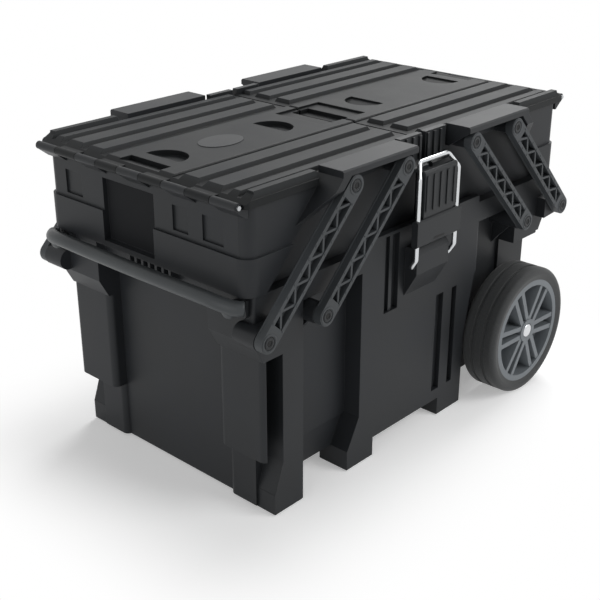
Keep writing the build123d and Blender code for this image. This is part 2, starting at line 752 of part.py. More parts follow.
def bin_outer():
    """Outer form of the left bin: body behind the arms and full-width end beside them."""
    height = (bin_bottom_z, bin_rim_z)
    end_x = -bin_end_x + bin_ledge
    core = block((end_x, -split_gap / 2), (-bin_core_y, bin_core_y), height)
    side = bin_cheek_y - bin_ledge
    end = slab_xz(cheek_outline(0, bin_rim_z), (-side, side))
    end = end & rounded_block((end_x, 0), (-side, side), height, bin_corner_round)
    wide = (-bin_cheek_y, bin_cheek_y)
    low_height = (bin_bottom_z, bin_ledge_z)
    low = slab_xz(cheek_outline(0, bin_rim_z), wide)
    low = low & rounded_block((-bin_end_x, 0), wide, low_height, bin_corner_round + bin_ledge)
    return core + end + low


def bin_inner():
    """Inside of the left bin."""
    height = (bin_bottom_z + bin_wall, bin_rim_z + overlap)
    end_x = -bin_end_x + bin_end_wall
    core = bin_core_y - bin_wall
    room = block((end_x, -split_gap / 2 - bin_wall), (-core, core), height)
    side = bin_cheek_y - bin_ledge - bin_wall
    end = slab_xz(cheek_outline(bin_wall, bin_rim_z + overlap), (-side, side))
    end = end & rounded_block((end_x, 0), (-side, side), height, bin_corner_round - bin_wall)
    return room + end


def end_hollows():
    """What is cut from the end wall: the panel off to one side and the flutes beside it."""
    height = (bin_bottom_z + end_recess_rise[0], bin_bottom_z + end_recess_rise[1])
    cuts = [block((-bin_end_x - overlap, -bin_end_x + end_recess), end_recess_y, height)]
    flute_x = (-bin_end_x - overlap, -bin_end_x + bin_ledge + end_flute_depth)
    flute_z = (bin_ledge_z + end_flute_ends[0], bin_rim_z - end_flute_ends[1])
    return cuts + [block(flute_x, span, flute_z) for span in end_flutes]


def brow():
    """Shelf over the left front arms, with a gusset at the latch end and a fairing beside the outer arm."""
    outer = beside_arm_x(brow_under_z, fairing_offset)
    web_back = -brow_web_y - brow_web
    root = -bin_core_y + overlap
    shelf = slab_yz([(root, brow_gusset_z), (root, bin_rim_z - overlap), (-brow_web_y, bin_rim_z - overlap),
                     (-brow_web_y, brow_top_z), (-brow_outer_y + brow_edge, brow_top_z),
                     (-brow_outer_y, brow_top_z - brow_edge), (-brow_outer_y, brow_under_z),
                     (web_back, brow_under_z), (web_back, brow_gusset_z)], (-outer, -brow_inner_x))
    high = brow_under_z + overlap
    gusset = slab_yz([(web_back + overlap, brow_gusset_z), (-brow_outer_y, high), (web_back + overlap, high)],
                     (-brow_inner_x - brow_gusset, -brow_inner_x))
    return shelf + gusset + fairing()


def fairing():
    """Edge strip beside the outer arm, that narrows downwards from the brow into the cheek."""
    high = brow_under_z + overlap
    low = arm_top_z - fairing_drop
    back = -bin_core_y + overlap
    strip = slab_xz([(-beside_arm_x(high, fairing_offset), high), (-beside_arm_x(low, fairing_offset), low),
                     (-beside_arm_x(low, cheek_offset), low), (-beside_arm_x(high, cheek_offset), high)],
                    (-brow_outer_y, back))
    foot = low - overlap
    wedge = slab_yz([(back + overlap, foot), (-bin_cheek_y + bin_ledge, foot), (-brow_outer_y, arm_top_z),
                     (-brow_outer_y, high), (back + overlap, high)], (-bin_end_x, 0))
    return strip & wedge


def knuckle(index, web):
    """One hinge knuckle of the left end, with its web."""
    pitch = knuckle_span / knuckle_count
    low = -knuckle_span / 2 + pitch * index + knuckle_gap / 2
    y = (low, low + pitch - knuckle_gap)
    return rod_y(-hinge_x, hinge_z, knuckle_radius, y) + slab_xz(web, y)


def bin_knuckles():
    """Knuckles that belong to the left bin: every second one, from the corner."""
    root = -bin_end_x + 2 * bin_wall
    foot = hinge_z - knuckle_web_depth
    web = [(root, bin_rim_z), (-lid_end_x - knuckle_clearance, bin_rim_z),
           (-hinge_x + hinge_pin_radius, hinge_z),
           (-hinge_x - knuckle_radius / 2, hinge_z - knuckle_radius + overlap),
           (-bin_end_x + bin_wall, foot), (root, foot)]
    return [knuckle(index, web) for index in range(0, knuckle_count, 2)]


def hinge_pin(fit):
    """Lid hinge pin of the left end, or its hole with a fit added."""
    half = knuckle_span / 2 + hinge_pin_end
    return rod_y(-hinge_x, hinge_z, hinge_pin_radius + fit, (-half, half))


def left_bin():
    """Left bin with brows, upper arm bosses and hinge knuckles."""
    body = bin_outer()
    body += front_and_back(brow())
    body -= bin_inner()
    tops = (inner_top_x, outer_top_x)
    boss_depth = (-boss_face_y, -bin_core_y + overlap)
    hole_depth = (-boss_face_y - overlap, -boss_face_y + pin_depth)
    for x in tops:
        body += front_and_back(rod_y(-x, arm_top_z, top_boss_radius, boss_depth))
    lid_side = lid_narrow_y + overlap
    body -= block((-lid_end_x, 0), (-lid_side, lid_side), (bin_rim_z, brow_top_z + overlap))
    body -= end_hollows()
    body += bin_knuckles()
    body -= hinge_pin(running_fit)
    for x in tops:
        body -= front_and_back(rod_y(-x, arm_top_z, pin_radius, hole_depth))
    return body


def dividers():
    """Loose cross dividers that stand in the left bin."""
    reach = bin_core_y - bin_wall - seat_gap
    height = (bin_bottom_z + bin_wall, bin_rim_z - divider_drop)
    return [block((-x, -x + divider_thickness), (-reach, reach), height) for x in divider_xs]


# ---------------------------------------------------------------- left lid
def ridge(band, inner_x, top):
    """Long moulded ridge with sloped sides and ends, front and back."""
    low, high = band
    base = lid_plate_z - overlap
    outer_x = lid_end_x - ridge_setback
    bar = slab_yz([(-high, base), (-high + ridge_slope, top), (-low - ridge_slope, top), (-low, base)],
                  (-outer_x, -inner_x))
    ends = slab_xz([(-outer_x, base), (-outer_x + ridge_ramps[0], top), (-inner_x - ridge_ramps[1], top),
                    (-inner_x, base)], (-lid_wide_y, 0))
    return front_and_back(bar & ends)


def lid_shell():
    """Plate and skirt of the left lid: wide at the hinge, narrow between the brows."""
    inner = -split_gap / 2
    step_x = -lid_wide_inner_x - lid_step
    height = (lid_base_z, lid_plate_z)
    wide = rounded_block((-lid_end_x, -lid_wide_inner_x), (-lid_wide_y, lid_wide_y), height, lid_round)
    narrow = block((step_x, inner), (-lid_narrow_y, lid_narrow_y), height)
    panel = block((-lid_end_x + panel_setback, inner), (-centre_panel_y, centre_panel_y),
                  (lid_plate_z - overlap, centre_panel_z))
    shell = wide + narrow + chamfer(panel.edges().group_by(Axis.Z)[-1], panel_chamfer)
    under = (lid_base_z - overlap, lid_plate_z - lid_plate)
    narrow_side = lid_narrow_y - lid_plate
    wide_side = lid_wide_y - lid_plate
    hollow = block((step_x, inner - lid_plate), (-narrow_side, narrow_side), under)
    wide_inner = -lid_wide_inner_x - lid_plate
    hollow += block((-lid_end_x + lid_end_chamfer, wide_inner), (-wide_side, wide_side), under)
    return shell - hollow


def thumb_recess(x):
    """Recess with a straight side towards the hinge, and a floor that falls to its round side."""
    top = centre_panel_z + overlap
    depth = thumb_depth + overlap
    disc = Pos(-x, 0, top - depth / 2) * Cylinder(thumb_radius, depth)
    flat_x = -x - thumb_flat
    shallow = centre_panel_z - centre_panel_rise
    deep = centre_panel_z - thumb_depth
    ramp = slab_xz([(flat_x, top), (flat_x, shallow), (-x + thumb_radius / 2, deep),
                    (-x + thumb_radius, deep), (-x + thumb_radius, top)], (-thumb_radius, thumb_radius))
    return disc & ramp


def end_notch():
    """Notch in the hinge end of the centre panel, a ramp down from the end."""
    top = centre_panel_z + overlap
    deep = centre_panel_z - notch_depth
    return slab_xz([(-lid_end_x, top), (-lid_end_x, centre_panel_z), (-notch_inner_x, deep),
                    (-notch_inner_x, top)], (-notch_y, notch_y))


def hand_slot():
    """This lid's half of the hand slot at the split, in its shallow dish."""
    top = centre_panel_z + overlap
    dish = block((-dish_x, overlap), (-dish_y, dish_y), (centre_panel_z - dish_depth, top))
    deep = centre_panel_z - grip_slot_depth
    return dish + block((-grip_slot_x, overlap), (-grip_slot_y, grip_slot_y), (deep, top))


def lid_backing():
    """Local thickening under the hand slot, the thumb recesses and the end notch."""
    slot_x = -grip_slot_x - slot_wall
    slot_y = grip_slot_y + slot_wall
    pads = [block((slot_x, -split_gap / 2), (-slot_y, slot_y),
                  (centre_panel_z - grip_slot_depth - slot_floor, lid_plate_z - overlap))]
    height = (lid_base_z + pad_gap, lid_plate_z - overlap)
    for x in (thumb_outer_x, thumb_inner_x):
        disc = Cylinder(thumb_radius + slot_wall, height[1] - height[0])
        pads.append(Pos(-x, 0, (height[0] + height[1]) / 2) * disc)
    notch_side = notch_y + slot_wall
    notch_span = (-lid_end_x + lid_end_chamfer, -notch_inner_x + slot_wall)
    pads.append(block(notch_span, (-notch_side, notch_side), height))
    return pads


def oval_plate(lift):
    """Blank oval plate in the middle of the left lid."""
    outline = Ellipse(plate_oval_length / 2, plate_oval_width / 2)
    base = Pos(-plate_oval_x, 0, centre_panel_z - plate_oval_height) * outline
    return extrude(base, amount=plate_oval_height + lift)


def lid_end_bevel():
    """Wedge that bevels the hinge end of the lid."""
    top = edge_ridge_top_z + overlap
    reach = lid_wide_y + overlap
    inner_x = -lid_end_x + lid_end_chamfer
    return slab_xz([(-lid_end_x - overlap, lid_base_z + bevel_foot), (inner_x, ridge_top_z), (inner_x, top),
                    (-lid_end_x - overlap, top)], (-reach, reach))


def lid_knuckles():
    """Knuckles that belong to the left lid, between those of the bin."""
    root = -lid_end_x + ridge_setback
    web = [(root, lid_base_z + lid_seat), (-hinge_x, hinge_z - hinge_pin_radius),
           (-hinge_x, hinge_z + knuckle_radius - overlap), (root, hinge_z + knuckle_radius - overlap)]
    return [knuckle(index, web) for index in range(1, knuckle_count, 2)]


def left_lid(with_plate):
    """Left lid: shell, ridges, centre panel, recesses and its own hinge knuckles."""
    body = lid_shell()
    for band in ridge_bands:
        body += ridge(band, ridge_end_gap, ridge_top_z)
    edge_band = (lid_narrow_y + lid_seat, lid_wide_y - lid_seat)
    body += ridge(edge_band, lid_wide_inner_x + overlap, edge_ridge_top_z)
    body += lid_backing()
    for cut in (thumb_recess(thumb_outer_x), thumb_recess(thumb_inner_x), end_notch(), hand_slot()):
        body -= cut
    if with_plate:
        body -= oval_plate(overlap)
    body -= lid_end_bevel()
    body += lid_knuckles()
    return body - hinge_pin(running_fit)


def lid_catch():
    """Ribbed catch under the left half of the front latch's crossbar."""
    face = lid_narrow_y + catch_thickness
    width = (-catch_outer_x, -catch_inner_x)
    top = edge_ridge_top_z
    plate = block(width, (-face, -lid_narrow_y), (catch_low_z, top))
    plate += block(width, (-face, -ridge_bands[-1][1] - lid_seat), (lid_plate_z, top))
    root = -face + overlap
    low, high, foot = (catch_low_z + rise for rise in catch_lip_rise)
    plate += slab_yz([(root, catch_low_z), (-catch_lip_y, low), (-catch_lip_y, high), (root, foot)], width)
    count = int((catch_outer_x - catch_inner_x - catch_rib_width) / catch_rib_pitch) + 1
    for index in range(count):
        x = -catch_inner_x - catch_rib_end - index * catch_rib_pitch
        plate += block((x - catch_rib_width, x), (-face - catch_rib, root), (low, top - catch_rib_end))
    return plate


# ---------------------------------------------------------------- latch
def bent_wire(points, radius, bend):
    """Round wire along straight runs with a bend of one radius at each corner."""
    edges = []
    start = Vector(*points[0])
    for before, corner, after in zip(points, points[1:], points[2:]):
        corner = Vector(*corner)
        back = (Vector(*before) - corner).normalized()
        on = (Vector(*after) - corner).normalized()
        half_turn = math.radians(back.get_angle(on)) / 2
        reach = bend / math.tan(half_turn)
        middle = (back + on).normalized() * (bend / math.sin(half_turn) - bend)
        edges.append(Line(start, corner + back * reach))
        edges.append(ThreePointArc(corner + back * reach, corner + middle, corner + on * reach))
        start = corner + on * reach
    edges.append(Line(start, Vector(*points[-1])))
    path = Wire(edges)
    section = Plane(origin=path @ 0, z_dir=path % 0) * Circle(radius)
    return sweep(section, path=path)


def latch_wire():
    """Front wire bail, closed: pivots in the tub's boss, crossbar before the lid catches."""
    leg = -wire_half_width
    left = [(leg + wire_stub, -latch_pivot_y, latch_pivot_z), (leg, -latch_pivot_y, latch_pivot_z),
            (leg, -wire_front_y, latch_pivot_z + wire_knee), (leg, -wire_front_y, crossbar_z - wire_neck),
            (-crossbar_half, -crossbar_y, crossbar_z)]
    right = [(-x, y, z) for x, y, z in reversed(left)]
    return bent_wire(left + right, wire_radius, wire_bend)


def latch_grip():
    """Front plastic grip, moulded round both legs of the wire."""
    back = -wire_front_y + grip_thickness / 2
    front = back - grip_thickness
    half = wire_half_width + wire_radius + grip_chamfer
    clip = block((-half, half), (front, back), (grip_band_low_z, grip_band_high_z))
    clip = chamfer(clip.edges().filter_by(Axis.X), grip_chamfer)
    plate_half = wire_half_width - wire_radius - grip_side_gap
    plate_low = grip_band_high_z + grip_neck
    plate_back = back - grip_chamfer
    plate = block((-plate_half, plate_half), (front + overlap, plate_back), (plate_low, grip_plate_high_z))
    plate = chamfer(plate.edges().filter_by(Axis.X).group_by(Axis.Z)[-1], grip_chamfer)
    neck_half = plate_half - grip_chamfer
    neck = block((-neck_half, neck_half), (front + grip_neck, plate_back),
                 (grip_band_high_z - overlap, plate_low + overlap))
    return clip + plate + neck - latch_wire()


# ---------------------------------------------------------------- pull handle
def handle_bracket():
    """Bracket under the front end of the bar, which holds a tube."""
    face_x = -handle_x - bracket_face
    base_z = tube_z - bracket_foot
    back_z = bin_bottom_z - bracket_top_gap
    inward, outward = bracket_side
    return slab_xz([(face_x, handle_z - bracket_face), (face_x, base_z + bracket_face),
                    (face_x + bracket_face, base_z), (bracket_end_x, base_z), (bracket_end_x, back_z),
                    (-handle_x + handle_radius, handle_z)], (-tube_y - outward, -tube_y + inward))


def handle_grip():
    """Bowed bar round the left end, with a bracket at each end and a dimple in each end face."""
    corners = [(-handle_end_x, -handle_end_y, handle_z), (-handle_x, -handle_straight_y, handle_z),
               (-handle_x, handle_straight_y, handle_z), (-handle_end_x, handle_end_y, handle_z)]
    bar = bent_wire(corners, handle_radius, 4 * handle_straight_y)
    bar += front_and_back(handle_bracket())
    dimple = rod_y(-handle_end_x, handle_z, handle_dimple_radius,
                   (-handle_end_y - handle_radius, -handle_end_y + handle_dimple))
    bar -= front_and_back(dimple)
    return bar - front_and_back(rod_x(-tube_y, tube_z, tube_radius, (bracket_end_x - tube_socket, 0)))


def handle_tubes():
    """Steel tubes of the pull handle."""
    span = (bracket_end_x - tube_socket, tube_inner_x)
    tube = rod_x(-tube_y, tube_z, tube_radius, span) - rod_x(-tube_y, tube_z, tube_radius - tube_wall, span)
    return front_and_back(tube)


def handle_stops():
    """Plastic stops in the inner ends of the tubes, too wide to pass the guides."""
    stop = rod_x(-tube_y, tube_z, guide_radius - 2 * slide_fit, (tube_inner_x, tube_inner_x + stop_length))
    plug = (tube_inner_x - stop_plug, tube_inner_x + overlap)
    stop += rod_x(-tube_y, tube_z, tube_radius - tube_wall, plug)
    return front_and_back(stop)


def handle_guides():
    """Collared guide sleeves in the tub's corner blocks."""
    face_x = -corner_block_x - guide_collar
    inner_x = -corner_block_x + guide_length
    sleeve = rod_x(-tube_y, tube_z, guide_radius, (-corner_block_x, inner_x))
    collar = block((face_x, -corner_block_x), (-tube_y - collar_half, -tube_y + collar_half),
                   (tube_z - collar_half, tube_z + collar_half))
    sleeve += chamfer(collar.edges().filter_by(Axis.X), collar_chamfer)
    bore = rod_x(-tube_y, tube_z, tube_radius + slide_fit, (face_x - overlap, inner_x + overlap))
    return front_and_back(sleeve - bore)


# ---------------------------------------------------------------- assembly
def wheel_nodes():
    """Both wheels, each of three pieces."""
    nodes = {}
    for name, make in (("tyre", tyre), ("rim", rim), ("hub_bush", bush)):
        front = at_front_wheel(make())
        nodes[f"front_{name}"] = [front]
        nodes[f"back_{name}"] = [mirror(front, about=Plane.XZ)]
    return nodes


def arm_nodes():
    """Eight arms and their pins."""
    nodes = {}
    for rank, base_x, fit in (("inner", inner_base_x, running_fit), ("outer", outer_base_x, open_pivot_fit)):
        arm = link_arm(base_x, fit)
        for side, pair in (("left", front_and_back(arm)),
                           ("right", front_and_back(mirror(arm, about=Plane.YZ)))):
            nodes[f"{side}_{rank}_arm_front"] = [pair[0]]
            nodes[f"{side}_{rank}_arm_back"] = [pair[1]]
    base_pins = [arm_pin(x, arm_base_z) for x in (inner_base_x, outer_base_x)]
    nodes["arm_base_pins"] = [copy for pin in base_pins for copy in four_ways(pin)]
    top_pins = [copy for x in (inner_top_x, outer_top_x) for copy in front_and_back(arm_pin(x, arm_top_z))]
    nodes["left_arm_top_pins"] = top_pins
    nodes["right_arm_top_pins"] = [mirror(pin, about=Plane.YZ) for pin in top_pins]
    return nodes


def half_nodes():
    """Bins and lids with what they carry, left and right."""
    left = {"bin": [left_bin()], "bin_dividers": dividers(), "hinge_pin": [hinge_pin(0.0)],
            "lid_catches": front_and_back(lid_catch())}
    nodes = {f"left_{name}": pieces for name, pieces in left.items()}
    for name, pieces in left.items():
        nodes[f"right_{name}"] = [mirror(piece, about=Plane.YZ) for piece in pieces]
    nodes["left_lid"] = [left_lid(True)]
    nodes["right_lid"] = [mirror(left_lid(False), about=Plane.YZ)]
    nodes["left_lid_blank_plate"] = [oval_plate(plate_oval_proud)]
    return nodes


def latch_nodes():
    """Front and back latches."""
    nodes = {}
    for name, make in (("wire", latch_wire), ("grip", latch_grip)):
        front, back = front_and_back(make())
        nodes[f"front_latch_{name}"] = [front]
        nodes[f"back_latch_{name}"] = [back]
    return nodes


def all_nodes():
    """Every node of the box: name to its list of solids."""
    nodes = {"base_tub": [base_tub()], "wheel_axle": [axle()], "axle_caps": axle_caps(),
             "handle_guides": handle_guides(), "handle_grip": [handle_grip()],
             "handle_tubes": handle_tubes(), "handle_stops": handle_stops()}
    nodes.update(wheel_nodes())
    nodes.update(arm_nodes())
    nodes.update(half_nodes())
    nodes.update(latch_nodes())
    return nodes


def main():
    """Write one STEP file for each node."""
    os.makedirs("parts", exist_ok=True)
    for name, pieces in all_nodes().items():
        solids = [Pos(frame_shift, 0, 0) * solid for piece in pieces for solid in piece.solids()]
        shape = solids[0] if len(solids) == 1 else Compound(solids)
        shape.label = name
        export_step(shape, f"parts/{name}.step")


main()
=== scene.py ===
"""Looks of the cantilever jobsite storage box: finishes, fine fittings, floor, light and camera.

Metres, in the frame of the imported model: X runs along the box towards the wheels, Y across it
towards the back long side, Z up from the floor. The CAD nodes stay as they are packed and only
get their finish here. What this script adds sits on a CAD node and rides on its body.
"""

import logging
import math
from dataclasses import dataclass, field
from enum import Enum
from typing import Any, Dict, List, Optional, Sequence, Tuple

import bmesh
import bpy
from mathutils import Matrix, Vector

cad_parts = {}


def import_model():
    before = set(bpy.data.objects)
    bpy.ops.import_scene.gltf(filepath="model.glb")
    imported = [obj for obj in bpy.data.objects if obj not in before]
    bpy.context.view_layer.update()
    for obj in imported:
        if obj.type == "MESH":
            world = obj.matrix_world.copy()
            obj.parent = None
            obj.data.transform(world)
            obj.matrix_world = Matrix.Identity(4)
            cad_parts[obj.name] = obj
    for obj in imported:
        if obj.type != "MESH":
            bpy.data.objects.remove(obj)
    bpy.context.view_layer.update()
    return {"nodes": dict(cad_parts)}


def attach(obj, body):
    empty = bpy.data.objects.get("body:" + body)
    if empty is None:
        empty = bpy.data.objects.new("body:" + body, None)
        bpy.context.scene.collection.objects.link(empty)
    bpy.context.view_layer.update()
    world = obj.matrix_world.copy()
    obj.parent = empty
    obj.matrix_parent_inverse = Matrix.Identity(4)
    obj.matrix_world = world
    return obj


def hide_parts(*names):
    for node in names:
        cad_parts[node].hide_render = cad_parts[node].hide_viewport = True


log = logging.getLogger("storage_box")

MM = 0.001
FRAME_SHIFT = 7.5              # mm from the split of the bins to the middle of the overall box
SEAT = 0.3                     # mm that a small piece reaches into the face that it sits on
PAD_CHAMFER = 0.5              # share of a pad's height that its rim is chamfered by
LEAST_ROUND = 0.05             # mm, least corner radius of a pad's inner outline
CORNER_STEPS = 4               # straight steps in each rounded corner of a pad
SHARP_EDGE_DEG = 40.0          # faces that meet at a wider angle keep a hard edge
BEVEL_SAMPLES = 4              # rays that round an edge in the shading
NOISE_SPREAD = (0.3, 0.7)      # most values of a noise texture lie between these
WHITE = "#ffffff"
ALONG_X, ALONG_Y, ALONG_Z = Vector((1.0, 0.0, 0.0)), Vector((0.0, 1.0, 0.0)), Vector((0.0, 0.0, 1.0))

Profile = Sequence[Tuple[float, float]]      # radius and height, or radius and length, of each point


# ------------------------------------------------------------------ colour and node helpers
def linear(hex_colour: str) -> Tuple[float, float, float, float]:
    """Turn an sRGB hex colour into linear RGBA.

    Args:
        hex_colour: Colour written as "#rrggbb".

    Returns:
        Linear red, green, blue and an alpha of one.
    """
    channels = [int(hex_colour[i:i + 2], 16) / 255 for i in (1, 3, 5)]
    lit = [c / 12.92 if c <= 0.04045 else ((c + 0.055) / 1.055) ** 2.4 for c in channels]
    return lit[0], lit[1], lit[2], 1.0


def add_node(tree: bpy.types.NodeTree, kind: str, settings: Optional[Dict[str, Any]] = None,
             **sockets: Any) -> bpy.types.Node:
    """Add one node with its settings, input values and links.

    Args:
        tree: Node tree that the node joins.
        kind: Blender's identifier of the node type.
        settings: Attributes set on the node itself.
        sockets: Input name, with underscores for spaces, to a value or to the socket it is linked from.

    Returns:
        The new node.
    """
    node = tree.nodes.new(kind)
    for attribute, value in (settings or {}).items():
        setattr(node, attribute, value)
    for name, value in sockets.items():
        socket = node.inputs[name.replace("_", " ")]
        if isinstance(value, bpy.types.NodeSocket):
            tree.links.new(value, socket)
        else:
            socket.default_value = value
    return node


def blank_material(name: str) -> Tuple[bpy.types.Material, bpy.types.NodeTree]:
    """Return a new material with an empty node tree, and that tree."""
    material = bpy.data.materials.new(name)
    material.use_nodes = True
    material.node_tree.nodes.clear()
    return material, material.node_tree


def close_material(tree: bpy.types.NodeTree, shader: bpy.types.Node) -> None:
    """Link a shader node to the tree's surface output."""
    add_node(tree, "ShaderNodeOutputMaterial", Surface=shader.outputs[0])


def tone_between(tree: bpy.types.NodeTree, noise: bpy.types.NodeSocket, band: Tuple[float, float],
                 colours: Tuple[str, str]) -> bpy.types.NodeSocket:
    """Return a colour that drifts from one to another with a noise.

    Args:
        tree: Node tree that the ramp joins.
        noise: Socket of the noise.
        band: Noise values where the drift starts and ends.
        colours: Hex colours at the start and at the end.

    Returns:
        The socket of the colour.
    """
    ramp = add_node(tree, "ShaderNodeValToRGB", Fac=noise)
    for element, position, colour in zip(ramp.color_ramp.elements, band, colours):
        element.position = position
        element.color = linear(colour)
    return ramp.outputs["Color"]


def gloss_around(tree: bpy.types.NodeTree, noise: bpy.types.NodeSocket, roughness: float,
                 drift: Tuple[float, float]) -> bpy.types.NodeSocket:
    """Return a roughness that drifts a little with a noise.

    Args:
        tree: Node tree that the range joins.
        noise: Socket of the noise.
        roughness: Middle roughness.
        drift: What is added to it at the noise's low and high end.

    Returns:
        The socket of the roughness.
    """
    gloss = add_node(tree, "ShaderNodeMapRange", Value=noise, From_Min=NOISE_SPREAD[0],
                     From_Max=NOISE_SPREAD[1], To_Min=roughness + drift[0], To_Max=roughness + drift[1])
    return gloss.outputs["Result"]


# ------------------------------------------------------------------ finishes
@dataclass(frozen=True)
class MouldedPlastic:
    """Polypropylene out of a spark-eroded mould.

    The fine grain of the mould scatters the light, so broad faces look satin and never mirror,
    and the rounded moulded edges catch a thin line of light.
    """

    name: str
    colour: str
    worn_colour: str
    roughness: float = 0.46
    grain_mm: float = 1.1          # real grain is near 0.3 mm and is drawn coarser, so that it shows
    grain_height_mm: float = 0.035
    flow_mm: float = 90.0          # slow drift of the gloss where the melt flowed
    grain_strength: float = 0.5
    tone_band: Tuple[float, float] = (0.35, 0.7)      # noise where the worn colour starts and is full
    gloss_drift: Tuple[float, float] = (-0.04, 0.05)
    edge_mm: float = 0.7           # round of every moulded edge
    ior: float = 1.49
    specular: float = 0.25         # the grain swallows half of the smooth face's mirror light
    painted_shade_heights: Optional[Tuple[float, float]] = None      # heights in mm over which painted shade low down turns to painted light high up
    painted_shade_tone: Tuple[float, float] = (0.7, 1.25)    # brightness of the painted shade below them and of the painted light above them

    def build(self) -> bpy.types.Material:
        """Return the material."""
        material, tree = blank_material(self.name)
        place = add_node(tree, "ShaderNodeTexCoord").outputs["Object"]
        grain = add_node(tree, "ShaderNodeTexNoise", Vector=place, Scale=1 / (self.grain_mm * MM),
                         Detail=2.0, Roughness=0.6)
        flow = add_node(tree, "ShaderNodeTexNoise", Vector=place, Scale=1 / (self.flow_mm * MM), Detail=3.0)
        colour = tone_between(tree, flow.outputs["Fac"], self.tone_band, (self.colour, self.worn_colour))
        # Painted light and shade: darker low on the face and paler high up, as shaded valleys and lit tops.
        if self.painted_shade_heights:
            low, high = self.painted_shade_heights
            height = add_node(tree, "ShaderNodeSeparateXYZ", Vector=place).outputs["Z"]
            painted_shade_ramp = add_node(tree, "ShaderNodeMapRange", Value=height, From_Min=low * MM, From_Max=high * MM,
                           To_Min=self.painted_shade_tone[0], To_Max=self.painted_shade_tone[1])
            colour = add_node(tree, "ShaderNodeHueSaturation", Value=painted_shade_ramp.outputs["Result"],
                              Color=colour).outputs["Color"]
        gloss = gloss_around(tree, flow.outputs["Fac"], self.roughness, self.gloss_drift)
        edge = add_node(tree, "ShaderNodeBevel", {"samples": BEVEL_SAMPLES}, Radius=self.edge_mm * MM)
        bump = add_node(tree, "ShaderNodeBump", Height=grain.outputs["Fac"], Strength=self.grain_strength,
                        Distance=self.grain_height_mm * MM, Normal=edge.outputs["Normal"])
        shader = add_node(tree, "ShaderNodeBsdfPrincipled", Base_Color=colour, Roughness=gloss,
                          IOR=self.ior, Specular_IOR_Level=self.specular, Normal=bump.outputs["Normal"])
        close_material(tree, shader)
        return material


@dataclass(frozen=True)
class TreadRubber:
    """Solid vulcanised rubber: matt, a little dusty, with a soft sheen at a low angle."""

    name: str
    colour: str
    dust_colour: str
    roughness: float = 0.72
    grain_mm: float = 2.0          # dust and mould grain, drawn coarser than they are, so that they show
    grain_height_mm: float = 0.08
    grain_strength: float = 0.6
    dust_band: Tuple[float, float] = (0.4, 0.75)      # noise where the dust starts and is full
    edge_mm: float = 1.2           # worn round of the tread's corners
    ior: float = 1.52
    sheen: float = 0.15

    def build(self) -> bpy.types.Material:
        """Return the material."""
        material, tree = blank_material(self.name)
        place = add_node(tree, "ShaderNodeTexCoord").outputs["Object"]
        grain = add_node(tree, "ShaderNodeTexNoise", Vector=place, Scale=1 / (self.grain_mm * MM), Detail=3.0)
        colour = tone_between(tree, grain.outputs["Fac"], self.dust_band, (self.colour, self.dust_colour))
        edge = add_node(tree, "ShaderNodeBevel", {"samples": BEVEL_SAMPLES}, Radius=self.edge_mm * MM)
        bump = add_node(tree, "ShaderNodeBump", Height=grain.outputs["Fac"], Strength=self.grain_strength,
                        Distance=self.grain_height_mm * MM, Normal=edge.outputs["Normal"])
        shader = add_node(tree, "ShaderNodeBsdfPrincipled", Base_Color=colour, Roughness=self.roughness,
                          IOR=self.ior, Sheen_Weight=self.sheen, Normal=bump.outputs["Normal"])
        close_material(tree, shader)
        return material


@dataclass(frozen=True)
class DrawnSteel:
    """Steel wire, pin or pressed cap: fine lines from the die run along it and stretch its highlights."""

    name: str
    colour: str
    roughness: float = 0.22
    line_mm: float = 0.6           # die lines are under 0.1 mm apart and are drawn coarser, so that they show
    line_height_mm: float = 0.012
    line_strength: float = 0.4
    gloss_drift: Tuple[float, float] = (-0.05, 0.08)

    def build(self) -> bpy.types.Material:
        """Return the material."""
        material, tree = blank_material(self.name)
        place = add_node(tree, "ShaderNodeTexCoord").outputs["Object"]
        lines = add_node(tree, "ShaderNodeTexNoise", Vector=place, Scale=1 / (self.line_mm * MM), Detail=2.0)
        gloss = gloss_around(tree, lines.outputs["Fac"], self.roughness, self.gloss_drift)
        bump = add_node(tree, "ShaderNodeBump", Height=lines.outputs["Fac"], Strength=self.line_strength,
                        Distance=self.line_height_mm * MM)
        shader = add_node(tree, "ShaderNodeBsdfPrincipled", Base_Color=linear(self.colour), Metallic=1.0,
                          Roughness=gloss, Normal=bump.outputs["Normal"])
        close_material(tree, shader)
        return material


